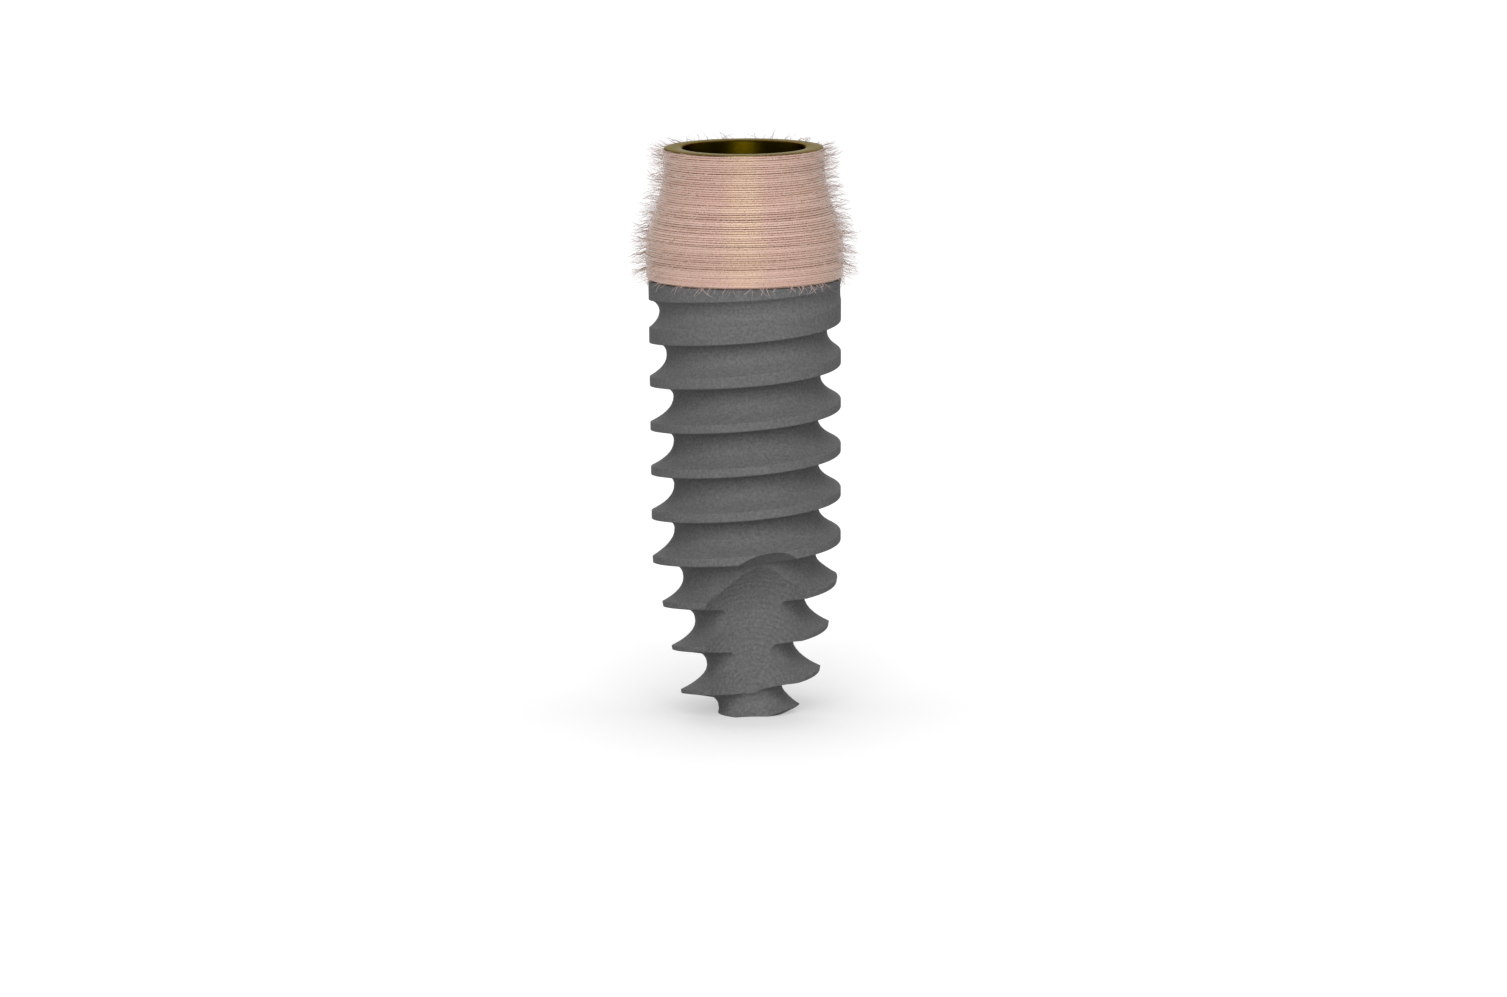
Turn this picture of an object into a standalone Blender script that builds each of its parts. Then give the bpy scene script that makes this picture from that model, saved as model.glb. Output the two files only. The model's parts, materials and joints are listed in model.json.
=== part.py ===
# Dental implant: a tapered self-tapping fixture, turned from one bar, with a wound fibre wrap on its collar.
# The origin is the centre of the flat tip, and +Z runs up the axis to the rim.

import math
import random

import bmesh
import bpy
from mathutils import Vector

MM = 0.001

# Overall sizes of the fixture
BODY_RADIUS = 2.15 * MM
BODY_TAPER = 0.006
THREAD_TOP_Z = 9.81 * MM
COLLAR_HEIGHT = 2.935 * MM
RIM_Z = THREAD_TOP_Z + COLLAR_HEIGHT
SEGMENTS = 36
MERGE_DISTANCE = 0.0001 * MM
SHARP_ANGLE = 35.0

# Thread: one start, right-handed, tapered towards the tip
PITCH = 1.0 * MM
LOWEST_EDGE_Z = 0.43 * MM
TIP_CREST_RADIUS = 1.443 * MM
CREST_TAPER = 0.194
TIP_FLAT_RADIUS = 0.86 * MM
TIP_CHAMFER_SPREAD = 2.0
TIP_ROOT_RADIUS = 0.61 * MM
ROOT_TAPER = 0.26
ROOT_RADIUS = 1.61 * MM

# Towards the collar the groove gets shallower and then runs out
NECK_LENGTH = 2.62 * MM
NECK_TAPER = 0.153
RUN_OUT_LENGTH = 0.67 * MM
RUN_OUT_TAPER = 0.28

# Section of the groove, measured down from the edge of the land above it
UNDERCUT = 0.11 * MM
UNDERCUT_RISE = 5.7
FILLET_RISE = 0.065 * MM
FILLET_LENGTH = 0.14 * MM
FLANK_LENGTH = 0.60 * MM
FLANK_RISE = 0.54 * MM
FLANK_POWER = 2.3
FLANK_FOLLOW = 0.6
FLANK_STATIONS = (0.4, 0.66, 0.85, 1.0)
EDGE_STEPS = 6

# Cutting flutes milled into the tip
FLUTE_COUNT = 3
FLUTE_BEARING = 277.0
FLUTE_FLOOR_RADIUS = 0.74 * MM
FLUTE_TAPER = 0.08
FLUTE_REACH = 2.10 * MM
FLUTE_HALF_WIDTH = 1.65 * MM
FLUTE_NOSE_Z = 2.26 * MM
FLUTE_NOSE_LENGTH = 1.95 * MM
FLUTE_VEER = 0.72 * MM
FLUTE_RUN_PAST_TIP = 1.0 * MM
FLUTE_SIDES = 48
FLUTE_NOSE_RINGS = 9

# Shoulder above the thread, and the rim above the collar
SHOULDER_CHAMFER = 0.03 * MM
RIM_RADIUS = 1.775 * MM
RIM_EDGE = 0.02 * MM
RIM_UNDERSIDE = 0.10 * MM
RIM_WIDTH = 0.40 * MM

# Socket for the abutment: a cone, a hexagon below it and a blind bore for the screw
MOUTH_RADIUS = RIM_RADIUS - RIM_WIDTH
MOUTH_CHAMFER = 0.03 * MM
CONE_DEPTH = 2.10 * MM
CONE_HALF_ANGLE = 6.0
HEX_ACROSS_FLATS = 1.96 * MM
HEX_DEPTH = 1.30 * MM
SCREW_BORE_RADIUS = 0.80 * MM
SCREW_BORE_DEPTH = 3.60 * MM
DRILL_POINT = 0.45 * MM

# Fibre wrap: a straight foot, a flare drawn in towards the rim, a straight top
WRAP_THICKNESS = 0.15 * MM
WRAP_GAP = 0.015 * MM
WRAP_PROUD_OF_RIM = 0.025 * MM
WRAP_PROUD_OF_BODY = 0.055 * MM
WRAP_FOOT_BAND = 0.99 * MM
WRAP_TOP_BAND = 0.63 * MM
WRAP_CHAMFER = 0.10 * MM
FLARE_POWER = 1.25
FLARE_STEPS = 6
TURN_PITCH = 0.10 * MM
TURN_RELIEF = 0.022 * MM

# Loose fibre ends standing off the wrap
HAIR_COUNT = 110
HAIR_SEED = 7
HAIR_WIDTH = 0.034 * MM
HAIR_SHORTEST = 0.28 * MM
HAIR_LONGEST = 0.55 * MM
HAIR_SWAY = 0.35
HAIR_DROOP = 0.45
HAIR_JOINTS = ((0.5, 0.8), (1.0, 0.4))


def make_material(name, colour, roughness, metallic):
    material = bpy.data.materials.new(name)
    material.use_nodes = True
    shader = material.node_tree.nodes["Principled BSDF"]
    shader.inputs["Base Color"].default_value = (*colour, 1.0)
    shader.inputs["Roughness"].default_value = roughness
    shader.inputs["Metallic"].default_value = metallic
    return material


def shade_round(mesh):
    """Smooth shading that breaks at real edges."""
    mesh.shade_smooth()
    mesh.set_sharp_from_angle(angle=math.radians(SHARP_ANGLE))


def make_object(name, shape, material=None, base_z=0.0):
    mesh = bpy.data.meshes.new(name)
    shape.to_mesh(mesh)
    shape.free()
    if material:
        mesh.materials.append(material)
    shade_round(mesh)
    thing = bpy.data.objects.new(name, mesh)
    thing.location.z = base_z
    bpy.context.scene.collection.objects.link(thing)
    return thing


# Surfaces laid out as columns of points round the axis


def column_angle(column):
    return math.tau * column / SEGMENTS


def place(shape, radius, angle, z):
    return shape.verts.new((radius * math.cos(angle), radius * math.sin(angle), z))


def add_face(shape, corners):
    distinct = list(dict.fromkeys(corners))
    if len(distinct) > 2:
        shape.faces.new(distinct)


def skin_columns(shape, columns, rows_a_turn):
    """Skins neighbouring columns. Each column is its points below, along and above a wound stretch.

    A full turn round, each row of the wound stretch meets the row one pitch above it.
    """
    for column, (below, wound, above) in enumerate(columns):
        next_below, next_wound, next_above = columns[(column + 1) % SEGMENTS]
        if column == SEGMENTS - 1:
            wound = [wound[0]] * rows_a_turn + wound
            next_wound = next_wound + [next_wound[-1]] * rows_a_turn
        left = below + wound + above
        right = next_below + next_wound + next_above
        for low in range(len(left) - 1):
            add_face(shape, [left[low], right[low], right[low + 1], left[low + 1]])
    bmesh.ops.remove_doubles(shape, verts=shape.verts, dist=MERGE_DISTANCE)
    bmesh.ops.dissolve_degenerate(shape, edges=shape.edges, dist=MERGE_DISTANCE)
    bmesh.ops.recalc_face_normals(shape, faces=shape.faces)


# Thread form


def crest_radius(z):
    body = BODY_RADIUS - BODY_TAPER * (THREAD_TOP_Z - z)
    return min(body, TIP_CREST_RADIUS + CREST_TAPER * z)


def root_radius(z):
    core = min(ROOT_RADIUS, TIP_ROOT_RADIUS + ROOT_TAPER * z)
    core += NECK_TAPER * max(0.0, z - (THREAD_TOP_Z - NECK_LENGTH))
    core += RUN_OUT_TAPER * max(0.0, z - (THREAD_TOP_Z - RUN_OUT_LENGTH))
    return min(core, crest_radius(z))


def flank_rise(depth):
    """Height that the long flank gains over its length, rather more in a deeper groove."""
    return FLANK_RISE + FLANK_FOLLOW * max(0.0, depth - FLANK_RISE)


def groove_height(drop, depth):
    """Height of the groove's surface above its root, at a drop below the edge of the land."""
    if drop < UNDERCUT:
        return FILLET_RISE + UNDERCUT_RISE * (UNDERCUT - drop)
    below_fillet = drop - UNDERCUT - FILLET_LENGTH
    if below_fillet < 0.0:
        return FILLET_RISE * (below_fillet / FILLET_LENGTH) ** 2
    return flank_rise(depth) * (below_fillet / FLANK_LENGTH) ** FLANK_POWER


def upper_edge_drop(depth):
    """Drop at which the undercut flank reaches the crest, for a groove of this depth."""
    if depth > FILLET_RISE:
        return max(0.0, UNDERCUT - (depth - FILLET_RISE) / UNDERCUT_RISE)
    return UNDERCUT + FILLET_LENGTH * (1.0 - math.sqrt(depth / FILLET_RISE))


def lower_edge_drop(depth):
    """Drop at which the long flank reaches the crest below, for a groove of this depth."""
    share = (depth / flank_rise(depth)) ** (1.0 / FLANK_POWER)
    return UNDERCUT + FILLET_LENGTH + FLANK_LENGTH * share


def settled_drop(edge_z, drop_of_depth):
    """Drop at which a flank meets the crest, found in steps because both taper with height."""
    drop = UNDERCUT
    for _ in range(EDGE_STEPS):
        z = max(0.0, edge_z - drop)
        drop = drop_of_depth(crest_radius(z) - root_radius(z))
    return min(drop, PITCH)


def groove_drops(edge_z):
    """Drops of the rows of points across one groove, from the land above to the land below."""
    edge = settled_drop(edge_z, upper_edge_drop)
    foot = settled_drop(edge_z, lower_edge_drop)
    root = UNDERCUT + FILLET_LENGTH
    drops = [edge, max(edge, UNDERCUT), max(edge, UNDERCUT + FILLET_LENGTH / 2), root]
    return drops + [root + (foot - root) * share for share in FLANK_STATIONS]


def thread_edge_z(angle, turn):
    """Height of the land's lower edge: LOWEST_EDGE_Z on the -X side, one pitch higher each turn."""
    return LOWEST_EDGE_Z + PITCH * (turn + angle / math.tau - 0.5)


def thread_radius(angle, z):
    drop = (thread_edge_z(angle, 0) - z) % PITCH
    crest, root = crest_radius(z), root_radius(z)
    tip_chamfer = TIP_FLAT_RADIUS + TIP_CHAMFER_SPREAD * z
    return min(tip_chamfer, crest, root + groove_height(drop, crest - root))


# Outline of the collar and of its wrap


def wrap_radius(z):
    flare_foot = THREAD_TOP_Z + WRAP_FOOT_BAND
    flare_top = RIM_Z - WRAP_TOP_BAND
    share = min(1.0, max(0.0, (flare_top - z) / (flare_top - flare_foot)))
    top_radius = RIM_RADIUS + WRAP_PROUD_OF_RIM
    return top_radius + (BODY_RADIUS + WRAP_PROUD_OF_BODY - top_radius) * share ** FLARE_POWER


def collar_radius(z):
    return wrap_radius(z) - WRAP_THICKNESS


def flare_heights():
    foot = THREAD_TOP_Z + WRAP_FOOT_BAND
    top = RIM_Z - WRAP_TOP_BAND
    return [foot + (top - foot) * step / FLARE_STEPS for step in range(FLARE_STEPS + 1)]


# The fixture


def thread_column(shape, angle):
    """Points of the threaded length, from the flat tip up to the shoulder."""
    column = []
    top = THREAD_TOP_Z - SHOULDER_CHAMFER
    for turn in range(-2, math.ceil(THREAD_TOP_Z / PITCH) + 2):
        edge_z = thread_edge_z(angle, turn)
        for drop in reversed(groove_drops(edge_z)):
            z = min(top, max(0.0, edge_z - drop))
            column.append(place(shape, thread_radius(angle, z), angle, z))
    return column


def hexagon_radius(angle):
    side = math.tau / 6
    from_flat = (angle + side / 2) % side - side / 2
    return HEX_ACROSS_FLATS / 2 / math.cos(from_flat)


def collar_column(shape, angle):
    """Points of the shoulder, collar and rim, then down inside the socket to its closed end."""
    under_rim = RIM_Z - RIM_EDGE - RIM_UNDERSIDE
    cone_z = RIM_Z - CONE_DEPTH
    cone_radius = MOUTH_RADIUS - CONE_DEPTH * math.tan(math.radians(CONE_HALF_ANGLE))
    hex_z = cone_z - HEX_DEPTH
    bore_z = hex_z - SCREW_BORE_DEPTH
    outline = [(BODY_RADIUS - SHOULDER_CHAMFER, THREAD_TOP_Z)]
    outline += [(collar_radius(z), z) for z in [THREAD_TOP_Z, *flare_heights(), under_rim]]
    outline += [(RIM_RADIUS, RIM_Z - RIM_EDGE), (RIM_RADIUS, RIM_Z)]
    outline += [(MOUTH_RADIUS + MOUTH_CHAMFER, RIM_Z), (MOUTH_RADIUS, RIM_Z - MOUTH_CHAMFER)]
    outline += [(cone_radius, cone_z), (hexagon_radius(angle), cone_z)]
    outline += [(hexagon_radius(angle), hex_z), (SCREW_BORE_RADIUS, hex_z)]
    outline += [(SCREW_BORE_RADIUS, bore_z), (0.0, bore_z - DRILL_POINT)]
    return [place(shape, radius, angle, z) for radius, z in outline]


def build_fixture(material):
    shape = bmesh.new()
    columns = []
    for column in range(SEGMENTS):
        angle = column_angle(column)
        tip_centre = [place(shape, 0.0, angle, 0.0)]
        columns.append((tip_centre, thread_column(shape, angle), collar_column(shape, angle)))
    skin_columns(shape, columns, rows_a_turn=len(groove_drops(LOWEST_EDGE_Z)))
    return make_object("implant_body", shape, material)


def flute_cutter_outline():
    """Share of the full section and height of each ring: a straight run, then an elliptical nose."""
    outline = [(1.0, -FLUTE_RUN_PAST_TIP)]
    for step in range(FLUTE_NOSE_RINGS):
        turn = math.pi / 2 * step / FLUTE_NOSE_RINGS
        outline.append((math.cos(turn), FLUTE_NOSE_Z + FLUTE_NOSE_LENGTH * math.sin(turn)))
    return outline


def build_flute_cutter(index):
    """The shape that the mill sweeps: an oval along the taper of the tip, veering off at its nose."""
    shape = bmesh.new()
    loops = []
    for share, z in flute_cutter_outline():
        centre = FLUTE_FLOOR_RADIUS + FLUTE_TAPER * z + FLUTE_REACH
        aside = FLUTE_VEER * (1.0 - share ** 2)
        loop = []
        for side in range(FLUTE_SIDES):
            turn = math.tau * side / FLUTE_SIDES
            x = centre + FLUTE_REACH * share * math.cos(turn)
            y = aside + FLUTE_HALF_WIDTH * share * math.sin(turn)
            loop.append(shape.verts.new((x, y, z)))
        loops.append(loop)
    for lower, upper in zip(loops, loops[1:]):
        for side in range(FLUTE_SIDES):
            after = (side + 1) % FLUTE_SIDES
            shape.faces.new([lower[side], lower[after], upper[after], upper[side]])
    shape.faces.new(loops[0])
    bmesh.ops.pointmerge(shape, verts=loops[-1], merge_co=shape_centre(loops[-1]))
    bmesh.ops.recalc_face_normals(shape, faces=shape.faces)
    cutter = make_object(f"flute_cutter_{index + 1}", shape)
    cutter.rotation_euler.z = math.radians(FLUTE_BEARING + 360.0 * index / FLUTE_COUNT)
    cutter.hide_render = True
    cutter.display_type = "WIRE"
    return cutter


def shape_centre(vertices):
    return sum((vertex.co for vertex in vertices), Vector()) / len(vertices)


def mill_flutes(fixture):
    cutters = [build_flute_cutter(index) for index in range(FLUTE_COUNT)]
    for cutter in cutters:
        cut = fixture.modifiers.new(cutter.name, "BOOLEAN")
        cut.operation = "DIFFERENCE"
        cut.solver = "EXACT"
        cut.object = cutter
    bpy.context.view_layer.update()
    milled = fixture.evaluated_get(bpy.context.evaluated_depsgraph_get())
    fixture.data = bpy.data.meshes.new_from_object(milled)
    fixture.modifiers.clear()
    for cutter in cutters:
        bpy.data.objects.remove(cutter, do_unlink=True)
    shade_round(fixture.data)


# The fibre wrap


def wound_radius(angle, z, foot):
    """Outer radius of the wrap, with the relief of its turns and the chamfer at its foot."""
    phase = (z / TURN_PITCH - angle / math.tau) % 1.0
    relief = TURN_RELIEF * abs(2.0 * phase - 1.0)
    chamfer = max(0.0, WRAP_CHAMFER - (z - foot))
    return wrap_radius(z) - relief - chamfer


def build_wrap(material):
    shape = bmesh.new()
    foot = THREAD_TOP_Z + WRAP_GAP
    top = RIM_Z - RIM_EDGE - WRAP_GAP
    inner_top = top - RIM_UNDERSIDE
    rows = 2 * math.ceil((top - foot) / TURN_PITCH) + 8
    first_row = 2 * math.floor(foot / TURN_PITCH) - 4
    columns = []
    for column in range(SEGMENTS):
        angle = column_angle(column)
        outer = []
        for row in range(first_row, first_row + rows):
            z = min(top, max(foot, TURN_PITCH * (row / 2 + angle / math.tau)))
            outer.append(place(shape, wound_radius(angle, z, foot), angle, z - foot))
        inner = []
        for z in [inner_top, *reversed(flare_heights()), foot]:
            inner.append(place(shape, collar_radius(z) + WRAP_GAP, angle, z - foot))
        columns.append(([], outer, inner + outer[:1]))
    skin_columns(shape, columns, rows_a_turn=2)
    grow_hairs(shape, top - foot)
    return make_object("collar_fibre_wrap", shape, material, base_z=foot)


def faces_out(face):
    centre = face.calc_center_median()
    return face.normal.x * centre.x + face.normal.y * centre.y > 0.0


def grow_hairs(shape, height):
    """Draws loose fibre ends out of faces of the wrap, each a tapered stub with one bend."""
    chance = random.Random(HAIR_SEED)
    up = Vector((0.0, 0.0, 1.0))
    bearers = [
        face
        for face in shape.faces
        if len(face.verts) == 4
        and faces_out(face)
        and WRAP_CHAMFER < face.calc_center_median().z < height - TURN_PITCH
    ]
    for face in chance.sample(bearers, HAIR_COUNT):
        centre = face.calc_center_median()
        out = Vector((centre.x, centre.y, 0.0)).normalized()
        side = up.cross(out)
        length = chance.uniform(HAIR_SHORTEST, HAIR_LONGEST)
        sway = chance.uniform(-HAIR_SWAY, HAIR_SWAY)
        rise = chance.uniform(-HAIR_DROOP, HAIR_DROOP * (2.0 * centre.z / height - 1.0))
        bmesh.ops.inset_individual(shape, faces=[face], thickness=HAIR_WIDTH / 8)
        gather_corners(face, centre, side, up, HAIR_WIDTH)
        for share, width in HAIR_JOINTS:
            face = bmesh.ops.extrude_discrete_faces(shape, faces=[face])["faces"][0]
            joint = centre + length * share * (out + side * sway + up * rise * share)
            gather_corners(face, joint, side, up, HAIR_WIDTH * width)


def gather_corners(face, middle, side, up, width):
    """Gathers the four corners of a face into a small square round a point."""
    centre = shape_centre(face.verts)
    for vertex in face.verts:
        offset = vertex.co - centre
        across = math.copysign(width / 2, offset.dot(side))
        along = math.copysign(width / 2, offset.dot(up))
        vertex.co = middle + side * across + up * along


def main():
    for thing in list(bpy.data.objects):
        bpy.data.objects.remove(thing, do_unlink=True)
    titanium = make_material("blasted_titanium", (0.14, 0.14, 0.145), 0.55, 1.0)
    fibre = make_material("pink_fibre", (0.52, 0.34, 0.28), 0.75, 0.0)
    fixture = build_fixture(titanium)
    mill_flutes(fixture)
    build_wrap(fibre)


main()
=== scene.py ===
import json
import math
import random
import bmesh
import bpy
import numpy as np
from mathutils import Matrix, Vector

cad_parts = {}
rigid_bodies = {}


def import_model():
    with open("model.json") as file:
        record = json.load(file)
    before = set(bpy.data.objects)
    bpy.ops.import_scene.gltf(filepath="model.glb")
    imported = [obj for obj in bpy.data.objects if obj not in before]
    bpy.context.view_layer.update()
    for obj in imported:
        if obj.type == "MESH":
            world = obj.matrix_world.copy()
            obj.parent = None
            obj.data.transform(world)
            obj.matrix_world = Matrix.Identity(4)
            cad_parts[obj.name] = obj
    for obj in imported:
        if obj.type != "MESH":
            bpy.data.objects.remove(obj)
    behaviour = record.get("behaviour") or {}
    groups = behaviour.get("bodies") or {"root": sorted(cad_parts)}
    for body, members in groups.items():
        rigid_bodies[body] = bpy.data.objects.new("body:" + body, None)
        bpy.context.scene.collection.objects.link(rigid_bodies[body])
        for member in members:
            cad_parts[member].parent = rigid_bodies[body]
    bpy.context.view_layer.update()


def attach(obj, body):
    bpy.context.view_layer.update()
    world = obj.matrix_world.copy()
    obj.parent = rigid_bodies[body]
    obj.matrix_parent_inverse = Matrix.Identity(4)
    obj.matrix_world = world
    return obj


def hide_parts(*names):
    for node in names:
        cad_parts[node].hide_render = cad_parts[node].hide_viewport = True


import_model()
mm = 0.001              # every size below is in millimetres
mergeDistance = 1e-4    # points closer than this become one
print("frame loaded")


# small helpers for meshes and nodes

def linkPiece(name, mesh, material):
    mesh.materials.append(material)
    piece = bpy.data.objects.new(name, mesh)
    bpy.context.scene.collection.objects.link(piece)
    return piece


def meshPiece(name, points, faces, material, smooth=True):
    mesh = bpy.data.meshes.new(name)
    mesh.from_pydata((np.asarray(points) * mm).tolist(), [], faces)
    if smooth:
        mesh.shade_smooth()
    return linkPiece(name, mesh, material)


def pointValues(piece, name, values):
    layer = piece.data.attributes.new(name, "FLOAT", "POINT")
    layer.data.foreach_set("value", np.asarray(values, np.float32))


def roundPoints(radius, angle, z):
    return np.stack([radius * np.cos(angle), radius * np.sin(angle), z], axis=-1)


def anglesRound(columns):
    return np.arange(columns) * math.tau / columns


def emptyMaterial(name, values):
    material = bpy.data.materials.new(name)
    material.use_nodes = True
    tree = material.node_tree
    shader = tree.nodes["Principled BSDF"]
    for socket, value in values.items():
        shader.inputs[socket].default_value = value
    return material, tree, shader


def addNode(tree, kind, inputs=None, **settings):
    node = tree.nodes.new("ShaderNode" + kind)
    for key, value in settings.items():
        setattr(node, key, value)
    for key, value in (inputs or {}).items():
        if isinstance(value, bpy.types.NodeSocket):
            tree.links.new(value, node.inputs[key])
        else:
            node.inputs[key].default_value = value
    return node


def addMath(tree, operation, *values):
    return addNode(tree, "Math", dict(enumerate(values)), operation=operation).outputs[0]


def readPointValues(tree, name):
    return addNode(tree, "Attribute", attribute_name=name).outputs["Fac"]


def addRamp(tree, factor, stops):
    node = tree.nodes.new("ShaderNodeValToRGB")
    tree.links.new(factor, node.inputs["Fac"])
    ramp = node.color_ramp
    while len(ramp.elements) < len(stops):
        ramp.elements.new(0.5)
    for element, (place, colour) in zip(ramp.elements, stops):
        element.position = place
        element.color = (*colour, 1.0)
    return node.outputs["Color"]


def addBump(tree, shader, height, strength, distance):
    bump = addNode(tree, "Bump", {
        "Strength": strength, "Distance": distance * mm, "Height": height})
    tree.links.new(bump.outputs["Normal"], shader.inputs["Normal"])


# screen values of 0 to 255 as the linear colour that a shader takes
def fromScreen(red, green, blue):
    shares = [value / 255 for value in (red, green, blue)]
    return tuple(s / 12.92 if s <= 0.04045 else ((s + 0.055) / 1.055) ** 2.4 for s in shares)


# threaded fixture: blasted titanium, one right-handed thread, three milled flutes

thread = {
    "bodyRadius": 2.15, "bodyTaper": 0.006, "topZ": 9.81, "pitch": 1.0, "lowestEdgeZ": 0.43,
    "tipCrest": 1.443, "crestTaper": 0.194, "tipFlat": 0.86, "tipChamferSpread": 2.0,
    "tipRoot": 0.61, "rootTaper": 0.26, "rootRadius": 1.61,
    "neckLength": 2.62, "neckTaper": 0.153, "runOutLength": 0.67, "runOutTaper": 0.28,
    "undercut": 0.11, "undercutRise": 5.7, "filletRise": 0.065, "filletLength": 0.14,
    "flankLength": 0.60, "flankRise": 0.54, "flankPower": 2.3, "flankFollow": 0.6,
    "edgeRound": 0.022,         # how far the worn edge of each land reaches
    "shoulderChamfer": 0.03,
    "insertRadius": 1.25, "insertFloorZ": 5.0,      # the bore that the rim and socket sit in
    "columns": 320,
}
flute = {
    "count": 3, "bearing": 277.0, "veer": 0.72, "floorRadius": 0.74, "taper": 0.08,
    "reach": 2.10, "halfWidth": 1.65, "noseZ": 2.26, "noseLength": 1.95,
    "noMeeting": 9.0,           # stands for a ray that passes every flute
    "axisCore": 0.3,            # the core that no flute reaches
}
titanium = {
    "grainScale": 17000.0, "blotchScale": 2600.0, "blotchShare": 0.10,
    "tones": [
        (0.32, (0.120, 0.120, 0.121)), (0.50, (0.150, 0.150, 0.152)),
        (0.68, (0.180, 0.180, 0.182))],
    "arcsPerMm": 68.0, "arcWidth": 0.9, "arcHeight": 0.75, "arcCentreZ": 0.4,
    "arcWobble": 9.0, "arcDepth": 0.75,         # mill marks against the blasted grain
    "bumpStrength": 0.5, "bumpDistance": 0.006,
    "shader": {
        "Metallic": 0.20, "Roughness": 0.80, "Specular IOR Level": 0.22,
        "Specular Tint": (0.45, 0.45, 0.45, 1.0)},
}


def crestRadius(z):
    body = thread["bodyRadius"] - thread["bodyTaper"] * (thread["topZ"] - z)
    return np.minimum(body, thread["tipCrest"] + thread["crestTaper"] * z)


def rootRadius(z):
    above = z - thread["topZ"]
    core = np.minimum(thread["rootRadius"], thread["tipRoot"] + thread["rootTaper"] * z)
    core = core + thread["neckTaper"] * np.maximum(0, above + thread["neckLength"])
    core = core + thread["runOutTaper"] * np.maximum(0, above + thread["runOutLength"])
    return np.minimum(core, crestRadius(z))


def flankRise(depth):
    rise = thread["flankRise"]
    return rise + thread["flankFollow"] * np.maximum(0, depth - rise)


def grooveHeight(drop, depth):
    under = thread["filletRise"] + thread["undercutRise"] * (thread["undercut"] - drop)
    past = drop - thread["undercut"] - thread["filletLength"]
    fillet = thread["filletRise"] * (past / thread["filletLength"]) ** 2
    share = np.maximum(past, 0) / thread["flankLength"]
    flank = flankRise(depth) * share ** thread["flankPower"]
    return np.where(drop < thread["undercut"], under, np.where(past < 0, fillet, flank))


def landEdgeZ(angle, turn):
    return thread["lowestEdgeZ"] + thread["pitch"] * (turn + angle / math.tau - 0.5)


def threadRadius(angle, z):
    drop = np.mod(landEdgeZ(angle, 0) - z, thread["pitch"])
    chamfer = thread["tipFlat"] + thread["tipChamferSpread"] * z
    crest, root = crestRadius(z), rootRadius(z)
    return np.minimum(np.minimum(chamfer, crest), root + grooveHeight(drop, crest - root))


def upperCornerDrop(depth):
    rise = thread["filletRise"]
    steep = np.maximum(0, thread["undercut"] - (depth - rise) / thread["undercutRise"])
    share = np.sqrt(np.clip(depth / rise, 0, 1))
    shallow = thread["undercut"] + thread["filletLength"] * (1 - share)
    return np.where(depth > rise, steep, shallow)


def lowerCornerDrop(depth):
    share = (depth / flankRise(depth)) ** (1 / thread["flankPower"])
    return thread["undercut"] + thread["filletLength"] + thread["flankLength"] * share


# the groove's depth changes with height, so the corner is found by repeating
def cornerDrop(edgeZ, dropOfDepth):
    drop = np.full_like(edgeZ, thread["undercut"])
    for _ in range(8):
        z = np.clip(edgeZ - drop, 0, thread["topZ"])
        drop = dropOfDepth(crestRadius(z) - rootRadius(z))
    return np.minimum(drop, thread["pitch"])


# four points that round a corner of the section, from the point before it to the one after
def wornCorner(angle, before, corner, after):
    points = []
    for share in (0.0, 0.33, 0.67, 1.0):
        weights = ((1 - share) ** 2, 2 * share * (1 - share), share ** 2)
        ends = [(threadRadius(angle, z), z) for z in (before, corner, after)]
        points.append(tuple(sum(w * end[i] for w, end in zip(weights, ends)) for i in (0, 1)))
    return points


# points of one turn of the section, from the land above down to the land below
def threadSection(angle, turn):
    edgeZ = landEdgeZ(angle, turn)
    upper = cornerDrop(edgeZ, upperCornerDrop)
    lower = cornerDrop(edgeZ, lowerCornerDrop)
    land = thread["pitch"] - lower + upper
    reach = np.minimum(thread["edgeRound"], 0.3 * land)
    depth = crestRadius(edgeZ - upper) - rootRadius(edgeZ - upper)
    cut = np.minimum(reach, 0.4 * np.maximum(depth, 0)) / thread["undercutRise"]
    undercutFoot = np.maximum(upper + cut, thread["undercut"])
    root = thread["undercut"] + thread["filletLength"]
    flankEnd = lower - 0.4 * reach
    drops = [(upper + cut + undercutFoot) / 2, undercutFoot]
    for share in (0.3, 0.65):
        fillet = thread["undercut"] + thread["filletLength"] * share
        drops.append(np.maximum(undercutFoot, fillet))
    for share in (0.0, 0.18, 0.34, 0.48, 0.61, 0.73, 0.83, 0.92):
        drops.append(root + (flankEnd - root) * share)
    points = wornCorner(angle, edgeZ - upper + reach, edgeZ - upper, edgeZ - upper - cut)
    points += [(threadRadius(angle, edgeZ - drop), edgeZ - drop) for drop in drops]
    points += wornCorner(angle, edgeZ - flankEnd, edgeZ - lower, edgeZ - lower - reach)
    middle = edgeZ - lower - land / 2
    return points + [(threadRadius(angle, middle), middle)]


# radius at which a ray from the axis meets the nearest milled flute
def fluteRadius(angle, z):
    reached = np.full(np.shape(z), flute["noMeeting"])
    rise = np.clip((z - flute["noseZ"]) / flute["noseLength"], 0, 0.999)
    share = np.sqrt(1 - rise ** 2)
    centre = flute["floorRadius"] + flute["taper"] * z + flute["reach"]
    side = flute["veer"] * rise ** 2
    a, b = flute["reach"] * share, flute["halfWidth"] * share
    for index in range(flute["count"]):
        turn = angle - math.radians(flute["bearing"] + 360 * index / flute["count"])
        c, s = np.cos(turn), np.sin(turn)
        square = (c / a) ** 2 + (s / b) ** 2
        middle = centre * c / a ** 2 + side * s / b ** 2
        inside = middle ** 2 - square * ((centre / a) ** 2 + (side / b) ** 2 - 1)
        hit = (inside > 0) & (c > 0)
        near = (middle - np.sqrt(np.maximum(inside, 0))) / square
        reached = np.where(hit, np.minimum(reached, near), reached)
    return reached


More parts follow.
